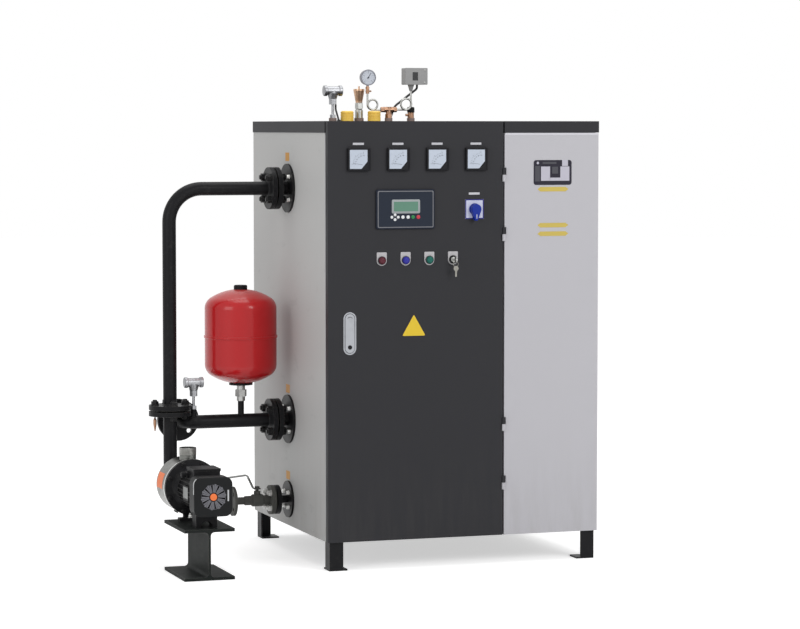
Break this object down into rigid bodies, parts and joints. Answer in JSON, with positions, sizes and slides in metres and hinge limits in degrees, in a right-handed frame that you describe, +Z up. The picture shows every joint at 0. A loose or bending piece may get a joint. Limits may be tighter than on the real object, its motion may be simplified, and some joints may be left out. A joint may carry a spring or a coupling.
{
  "type": "packaged electric hot water boiler",
  "caption": "Sheet steel boiler cabinet on legs with a full height front door, side piping, circulation pump on a beam stand, expansion vessel and roof gauges.",
  "frame": {"origin": "centre of the underside of the front left foot plate, on the floor", "axes": "+X to the right along the front, +Y to the back, +Z up"},
  "size_m": [1.533, 1.023, 1.742],
  "materials": {
    "charcoal_paint": "satin dark grey powder coat",
    "pale_paint": "pale grey powder coat",
    "black_paint": "semi gloss black paint",
    "pump_black": "black cast and painted metal",
    "primed_steel": "primer on steel",
    "red_enamel": "gloss red enamel",
    "zinc_steel": "zinc plated or stainless steel",
    "stainless": "brushed stainless steel",
    "brass": "machined brass",
    "instrument_plastic": "moulded black plastic",
    "navy_plastic": "navy overlay on moulded plastic",
    "silver_lock": "silver lacquer on zinc die casting",
    "lamp_plastic": "tinted lenses in chromed rings",
    "white_plastic": "white moulded plastic",
    "yellow_plastic": "yellow moulded plastic",
    "grey_plastic": "grey moulded plastic",
    "gasket_fibre": "pressed fibre gasket",
    "flex_conduit": "ribbed flexible conduit"
  },
  "bodies": {
    "boiler": {"base_frame": "black_paint", "legs": "black_paint", "left_wall": "pale_paint", "right_wall": "pale_paint", "back_wall": "pale_paint", "top_cover": "charcoal_paint", "door_frame": "pale_paint", "right_front_panel": "pale_paint", "frame_hinges": "pale_paint", "mounting_plate": "zinc_steel", "boiler_drum": "primed_steel", "port_discs": "black_paint", "wall_nozzles": "black_paint", "flange_gaskets": "gasket_fibre", "outlet_pipe": "black_paint", "suction_pipe": "black_paint", "return_pipe": "black_paint", "expansion_vessel": "red_enamel", "vessel_union": "zinc_steel", "vessel_trim": "pump_black", "drain_valve": "black_paint", "pump_barrel": "stainless", "pump_adapter": "pump_black", "motor_frame": "pump_black", "terminal_box": "pump_black", "fan_cowl": "pump_black", "pump_stand": "black_paint", "temperature_sensors": "zinc_steel", "socket_caps": "yellow_plastic", "safety_valve": "brass", "brass_fittings": "brass", "pressure_gauge": "zinc_steel", "siphon_tubes": "stainless", "pressure_switch": "grey_plastic", "switch_conduit": "flex_conduit"},
    "door": {"front_door": "charcoal_paint", "door_hinges": "charcoal_paint", "handle_dish": "silver_lock", "panel_meters": "instrument_plastic", "controller": "navy_plastic", "legend_plates": "white_plastic", "pilot_lamps": "lamp_plastic", "key_switch": "zinc_steel"},
    "door_handle": {"handle_lever": "silver_lock"},
    "selector": {"selector_knob": "navy_plastic"},
    "key": {"switch_key": "zinc_steel"},
    "drain_lever": {"valve_lever": "zinc_steel"}
  },
  "joints": [
    {"name": "door_swing", "type": "hinge", "parent": "boiler", "child": "door", "pos_m": [0.6035, -0.0445, 0.1], "axis": [0, 0, 1], "range_deg": [0, 120]},
    {"name": "handle_lift", "type": "hinge", "parent": "door", "child": "door_handle", "pos_m": [0.0385, -0.0415, 0.766], "axis": [1, 0, 0], "range_deg": [0, 40]},
    {"name": "selector_turn", "type": "hinge", "parent": "door", "child": "selector", "pos_m": [0.493, -0.0455, 1.245], "axis": [0, 1, 0], "range_deg": [-60, 60]},
    {"name": "key_turn", "type": "hinge", "parent": "door", "child": "key", "pos_m": [0.4144, -0.044, 1.071], "axis": [0, 1, 0], "range_deg": [0, 90]},
    {"name": "drain_lever_turn", "type": "hinge", "parent": "boiler", "child": "drain_lever", "pos_m": [-0.1595, 0.4275, 0.233], "axis": [0, 0, 1], "range_deg": [-90, 0]}
  ]
}
